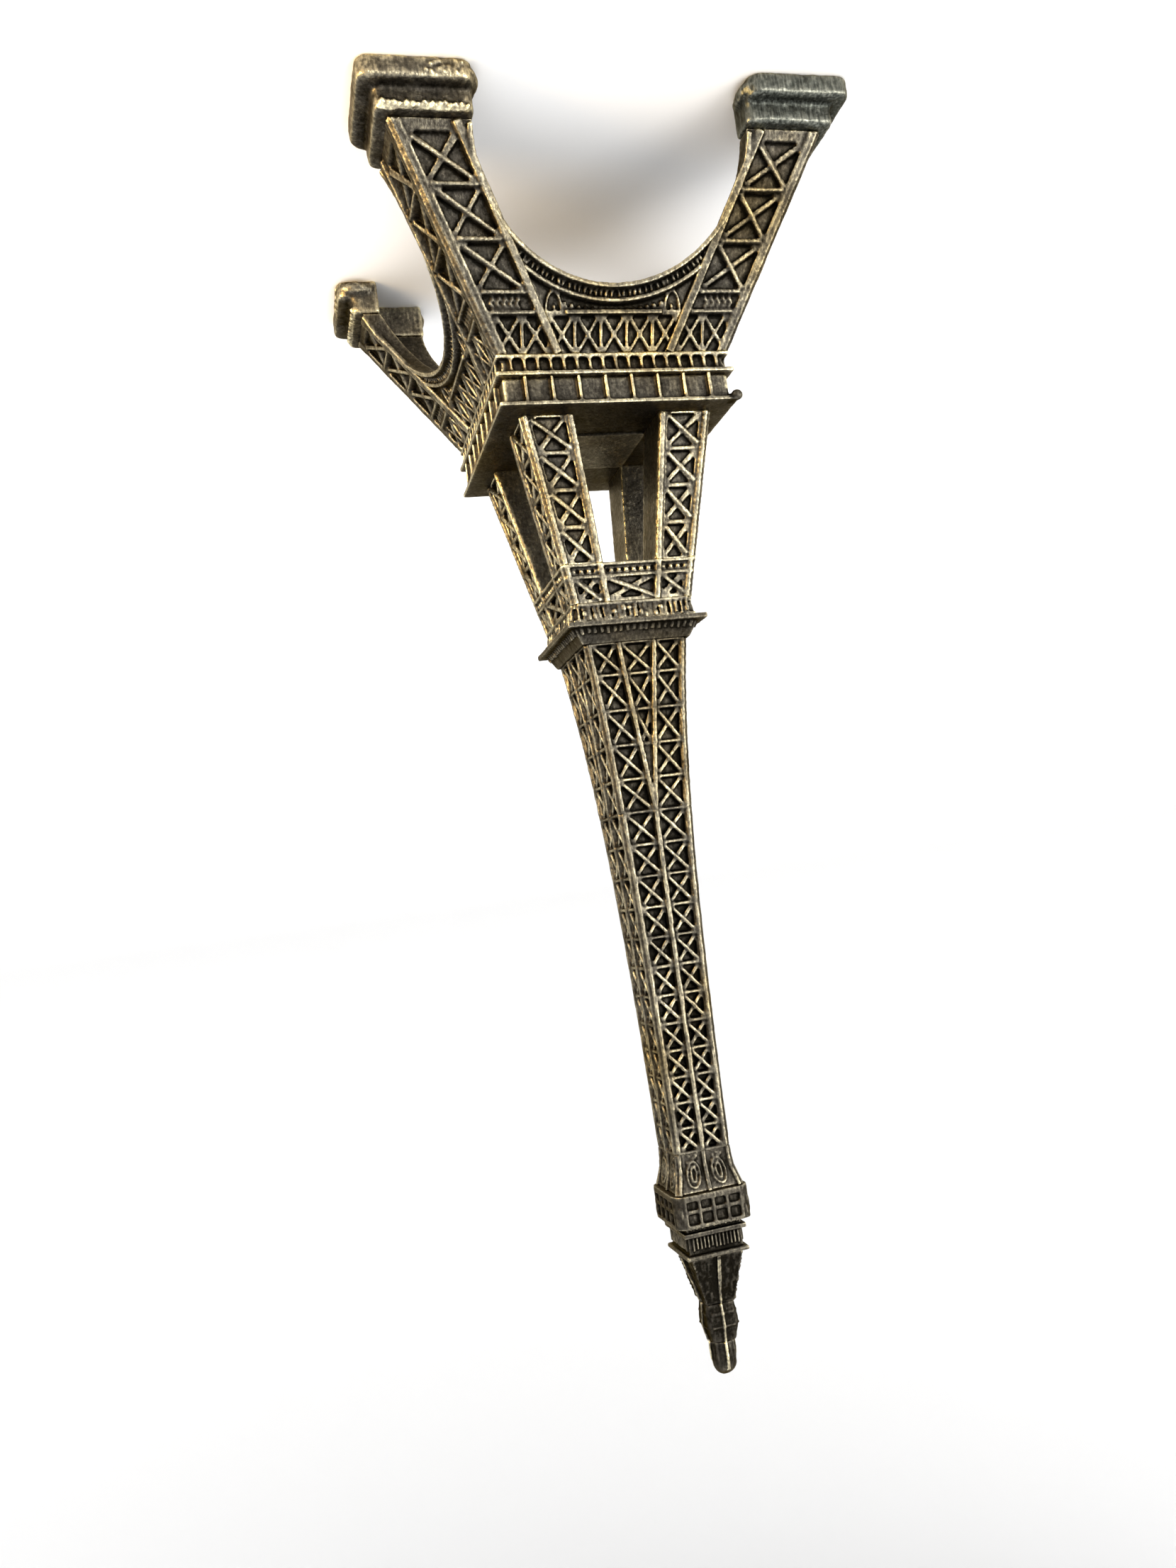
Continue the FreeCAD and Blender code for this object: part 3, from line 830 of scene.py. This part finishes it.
def shaft_trim(levels):
    """Chords, cross bars and braces on the front face of a stretch of the shaft."""
    trim = bmesh.new()
    for side in (-1, 1):
        add_path(trim, [on_shaft(side * (shaft_half(z) - 0.2), z, 0.04) for z in levels], 0.32, 0.3)
        add_path(trim, [on_shaft(side * middle_chord(z), z, 0.1) for z in levels], 0.36, 0.36)
    for z in levels:
        ends = (0.2 - shaft_half(z), shaft_half(z) - 0.2)
        add_path(trim, [on_shaft(x, z, -0.04) for x in ends], 0.22, 0.34)
    for z0, z1 in zip(levels, levels[1:]):
        low, high = z0 + 0.12, z1 - 0.12
        columns = [(-shaft_half(low) + 0.42, -middle_chord(low) - 0.2, -middle_chord(high) - 0.2,
                    -shaft_half(high) + 0.42),
                   (middle_chord(low) + 0.2, shaft_half(low) - 0.42, shaft_half(high) - 0.42,
                    middle_chord(high) + 0.2)]
        if middle_chord(high) > 0.45:
            columns.append((-middle_chord(low) + 0.2, middle_chord(low) - 0.2,
                            middle_chord(high) - 0.2, -middle_chord(high) + 0.2))
        for a, b, c, d in columns:
            add_path(trim, [on_shaft(b, low, -0.06), on_shaft(d, high, -0.06)], 0.23, 0.34)
            add_path(trim, [on_shaft(a, low, -0.2), on_shaft(c, high, -0.2)], 0.21, 0.34)
    return trim


lower_cells = 5
levels = [shaft_low.z]
for cell in shaft_cells:
    levels.append(levels[-1] + cell)
for node, stretch, grain in (("lower_shaft", levels[:lower_cells + 1], 0.085),
                             ("upper_shaft", levels[lower_cells:], 0.09)):
    mesh = casting_of(node)
    add_all_round(mesh, shaft_trim(stretch))
    ends = (stretch[0], stretch[-1])
    set_in_place(cast(mesh, node + "_casting", grain, 2, lump=0.05, seams=ends), node)


# ---- Shaft head ---------------------------------------------------------------------------
# The shaft spreads under the top gallery. Each face carries a pair of long double loops
# between the ends of the chords.

head_low, head_high = corners_of("shaft_head")


def head_trim():
    """Long loops and chord ends on the front face of the head."""
    trim = bmesh.new()
    foot_half = shaft_half(head_low.z)

    def on_head(x, z, proud=0.0):
        share = (z - head_low.z) / (head_high.z - head_low.z)
        half = foot_half + (head_high.x - foot_half) * share ** 2.4
        return (x * half / foot_half, -half - proud, z)

    middle = (head_low.z + head_high.z) / 2
    heights = (head_low.z, middle, head_high.z)
    for side in (-1, 1):
        for width, height in ((0.5, 0.95), (0.2, 0.58)):
            loop = []
            for step in (i * math.pi / 10 for i in range(21)):
                x = side * 0.98 + width * math.cos(step)
                loop.append(on_head(x, middle + 0.15 + height * math.sin(step)))
            add_path(trim, loop, 0.15, 0.3)
        for lump in range(12):
            x = side * chance.uniform(0.5, 1.4)
            z = chance.uniform(head_low.z + 0.1, middle - 0.4)
            add_bead(trim, on_head(x, z, -0.02), 0.3, 0.3, 0.34)
        add_path(trim, [on_head(side * (foot_half - 0.16), z, 0.02) for z in heights], 0.26, 0.3)
    add_path(trim, [on_head(0, z, 0.02) for z in heights], 0.3, 0.3)
    return trim


mesh = casting_of("shaft_head")
add_all_round(mesh, head_trim())
set_in_place(cast(mesh, "shaft_head_casting", 0.07, 2, lump=0.06, seams=(head_low.z,)), "shaft_head")


# ---- Top gallery --------------------------------------------------------------------------
# A squat glazed gallery with rounded corners: two rows of four windows on each face, under
# a thick rail, all cast solid.

top_low, top_high = corners_of("top_gallery")
top_corner = 0.75


def top_trim():
    """Thick lower rail and thin window bars on the front face of the top gallery."""
    trim = bmesh.new()
    half = top_high.x
    reach = half - top_corner
    for z, height in ((top_low.z + 0.24, 0.46), (top_high.z - 0.15, 0.28)):
        add_bar(trim, (-reach, -half, z), (reach, -half, z), height, 0.14)
    for i in range(5):
        x = -reach + 2 * reach * i / 4
        foot, head = (x, -half + 0.05, top_low.z + 0.2), (x, -half + 0.05, top_high.z - 0.15)
        add_bar(trim, foot, head, 0.16, 0.2)
    for i in range(6):
        turn = math.radians(12 + 13 * i)
        radius = top_corner - 0.03
        place = (reach + radius * math.sin(turn), -reach - radius * math.cos(turn),
                 top_low.z + chance.uniform(0.9, 2.1))
        add_bead(trim, place, 0.22, 0.22, 0.8)
    return trim


mesh = casting_of("top_gallery")
add_all_round(mesh, top_trim())
set_in_place(cast(mesh, "top_gallery_casting", 0.07, 1, lump=0.05, patina=0.7), "top_gallery")


# ---- Cabin --------------------------------------------------------------------------------
# A small square cabin over a sunk neck: a double ledge, a row of fine upright flutes and the
# eaves of the roof.

cabin_low, cabin_high = corners_of("cabin")
cabin_wall_half = 2.2
flutes = 13


def cabin_trim():
    """Ledge lines and flutes on the front face of the cabin."""
    trim = bmesh.new()
    face = -cabin_wall_half
    ledge_half = cabin_high.x
    for z in (cabin_low.z + 0.51, cabin_low.z + 0.73, cabin_high.z - 0.16):
        add_bar(trim, (-ledge_half, -ledge_half, z), (ledge_half, -ledge_half, z), 0.14, 0.12)
    for i in range(flutes):
        x = -1.85 + 3.7 * i / (flutes - 1)
        foot = cabin_low.z + 0.86
        head = foot + chance.uniform(0.8, 1.0)
        add_bar(trim, (x, face - 0.04, foot), (x, face - 0.04, head), 0.15, 0.3)
    for i in range(9):
        x = -1.9 + 3.8 * i / 8
        add_bead(trim, (x, face - 0.05, cabin_low.z + 0.2), 0.24, 0.3, 0.24)
    return trim


mesh = casting_of("cabin")
add_all_round(mesh, cabin_trim())
set_in_place(cast(mesh, "cabin_casting", 0.06, 1, lump=0.04, pit=0.02, patina=0.8), "cabin")


# ---- Roof ---------------------------------------------------------------------------------
# A steep roof, rough as the mould left it, with a rib up the middle of each face and hips
# that are notched all the way up.

roof_low, roof_high = corners_of("cabin_roof")
roof_head_half = 1.15


def roof_trim():
    """Rib, broken strokes and one lumpy hip on the front face of the roof."""
    trim = bmesh.new()
    foot_half = roof_high.x - 0.4
    height = roof_high.z - roof_low.z

    def on_roof(x, z, proud=0.0):
        half = foot_half + (roof_head_half - foot_half) * (z - roof_low.z) / height
        return (x * half / foot_half, -half - proud, z)

    add_path(trim, [on_roof(0, z, 0.08) for z in (roof_low.z, roof_high.z)], 0.18, 0.3)
    for i in range(14):
        z = roof_low.z + 0.2 + 0.26 * i
        size = chance.uniform(0.16, 0.3)
        add_bead(trim, on_roof(foot_half - 0.06, z, -0.04), size, size, chance.uniform(0.2, 0.5))
    for i in range(34):
        x = chance.choice((-1, 1)) * chance.uniform(0.4, foot_half - 0.35)
        z = chance.uniform(roof_low.z + 0.3, roof_high.z - 0.5)
        end = on_roof(x + chance.uniform(-0.2, 0.2), z + chance.uniform(0.2, 0.5), -0.06)
        add_bar(trim, on_roof(x, z, -0.06), end, chance.uniform(0.1, 0.2), 0.2)
    return trim


def paint_rib_highlights(piece, half_width, reach, foot, head, patina):
    """Paints a highlight on the rib up the middle of each of the four faces."""
    for turn in range(4):
        repaint_box(piece, turn, (-half_width, -reach, foot), (half_width, 0, head), patina)


mesh = casting_of("cabin_roof")
add_all_round(mesh, roof_trim())
piece = cast(mesh, "cabin_roof_casting", 0.06, 2, lump=0.2, pit=0.08, patina=1.4)
# Painted highlight along the ribs of the roof.
paint_rib_highlights(piece, 0.14, roof_high.x, roof_low.z + 0.3, roof_high.z, -0.3)
set_in_place(piece, "cabin_roof")


# ---- Lantern and finial -------------------------------------------------------------------
# The tip: a rounded lantern, ringed twice and still four-sided, and a smooth bullet on it,
# with painted highlights along its ridges.

lantern_low, lantern_high = corners_of("lantern")


def lantern_trim():
    """Ring lines and the end of the roof's rib on the front face of the lantern."""
    trim = bmesh.new()
    for z, half in ((lantern_low.z + 0.75, 1.2), (lantern_low.z + 1.75, 1.26)):
        add_bar(trim, (-half + 0.3, -half, z), (half - 0.3, -half, z), 0.13, 0.2)
    add_bar(trim, (0, -1.16, lantern_low.z), (0, -1.28, lantern_low.z + 1.6), 0.18, 0.26)
    add_bar(trim, (0, -1.28, lantern_low.z + 1.6), (0, -1.04, lantern_high.z), 0.18, 0.26)
    return trim


mesh = rounded_off(casting_of("lantern"), 0.07, 24)
add_all_round(mesh, lantern_trim())
piece = cast(mesh, "lantern_casting", 0.06, 3, lump=0.14, patina=1.5)
# Painted highlight along the ribs of the lantern.
paint_rib_highlights(piece, 0.12, 2, lantern_low.z, lantern_high.z, -0.6)
set_in_place(piece, "lantern")

finial_low, finial_high = corners_of("finial")


def finial_trim():
    """Rib that runs up the front of the finial, and a weaker one at its corner."""
    trim = bmesh.new()
    radius = finial_high.x
    height = finial_high.z - finial_low.z
    for heading, width, proud in ((0, 0.22, 0.12), (math.pi / 4, 0.2, 0.08)):
        side = Vector((math.sin(heading), -math.cos(heading), 0))
        profile = ((0.0, 0.97), (0.45, 0.97), (0.68, 0.82), (0.84, 0.6))
        points = [side * (radius * share - 0.08 + proud) + Vector((0, 0, finial_low.z + height * z))
                  for z, share in profile]
        for start, end in zip(points, points[1:]):
            add_bar(trim, start, end, width, 0.22, side)
    return trim


mesh = casting_of("finial")
add_all_round(mesh, finial_trim())
piece = cast(mesh, "finial_casting", 0.06, 3, lump=0.12, pit=0.02, patina=1.3)
# Painted highlight along the ribs of the finial.
paint_rib_highlights(piece, 0.12, 2, finial_low.z, finial_high.z - 0.5, -1.2)
set_in_place(piece, "finial")


# ---- Studio -------------------------------------------------------------------------------
# A pale round floor that curves up into a wall. One soft panel lights the front, one the
# floor, and a small warm one the far foot. The camera looks level at the standing tower, and
# is rolled over so that the tip points down.

def studio_floor():
    """Smooth round floor with a raised rim, wide enough to fill any view."""
    cove = bmesh.new()
    outline = ((0.0, 0.0), (0.9, 0.0), (1.15, 0.05), (1.25, 0.25), (1.25, 1.0))
    points = [cove.verts.new((radius, 0, height)) for radius, height in outline]
    lines = [cove.edges.new(ends) for ends in zip(points, points[1:])]
    bmesh.ops.spin(cove, geom=points + lines, cent=(0, 0, 0), axis=(0, 0, 1),
                   angle=2 * math.pi, steps=64, use_merge=True)
    bmesh.ops.remove_doubles(cove, verts=cove.verts, dist=0.00001)
    bmesh.ops.recalc_face_normals(cove, faces=cove.faces)
    data = bpy.data.meshes.new("studio_floor")
    cove.to_mesh(data)
    cove.free()
    data.polygons.foreach_set("use_smooth", [True] * len(data.polygons))
    pale = bpy.data.materials.new("pale_floor")
    pale.use_nodes = True
    shader = pale.node_tree.nodes["Principled BSDF"]
    shader.inputs["Base Color"].default_value = (0.9, 0.9, 0.9, 1)
    shader.inputs["Roughness"].default_value = 0.8
    data.materials.append(pale)
    floor = bpy.data.objects.new("studio_floor", data)
    bpy.context.scene.collection.objects.link(floor)


def soft_panel(name, place, target, size, power, colour):
    """Square light panel aimed at a point."""
    light = bpy.data.lights.new(name, "AREA")
    light.size = size
    light.energy = power
    light.color = colour
    lamp = bpy.data.objects.new(name, light)
    lamp.location = place
    lamp.rotation_euler = (Vector(target) - Vector(place)).to_track_quat("-Z", "Y").to_euler()
    bpy.context.scene.collection.objects.link(lamp)


studio_floor()
middle = (cad_low + cad_high) / 2
soft_panel("key_panel", (-0.30, -0.42, 0.10), middle, 0.3, 2.4, (1, 0.98, 0.94))
soft_panel("warm_panel", (0.075, -0.03, 0.012), (0.016, 0.012, 0.004), 0.03, 0.08, (1, 0.66, 0.24))
soft_panel("floor_panel", (0.0, 0.0, 0.95), (0, 0, 0), 1.6, 13.0, (1, 1, 1))

world = bpy.data.worlds.new("studio_air")
world.use_nodes = True
world.node_tree.nodes["Background"].inputs["Color"].default_value = (1, 1, 1, 1)
world.node_tree.nodes["Background"].inputs["Strength"].default_value = 0.4
bpy.context.scene.world = world
bpy.context.scene.view_settings.view_transform = "Standard"

eye = Vector((0.02942, -0.09288, 0.05850))
forward = Vector((-0.25854, 0.96116, -0.09655)).normalized()
right = Vector((-0.95969, -0.24415, 0.13923)).normalized()
camera_data = bpy.data.cameras.new("camera")
camera_data.lens = 27.29
camera_data.clip_start = 0.001
camera = bpy.data.objects.new("camera", camera_data)
turn = Matrix((right, right.cross(forward), -forward)).transposed().to_4x4()
camera.matrix_world = Matrix.Translation(eye) @ turn
bpy.context.scene.collection.objects.link(camera)
bpy.context.scene.camera = camera
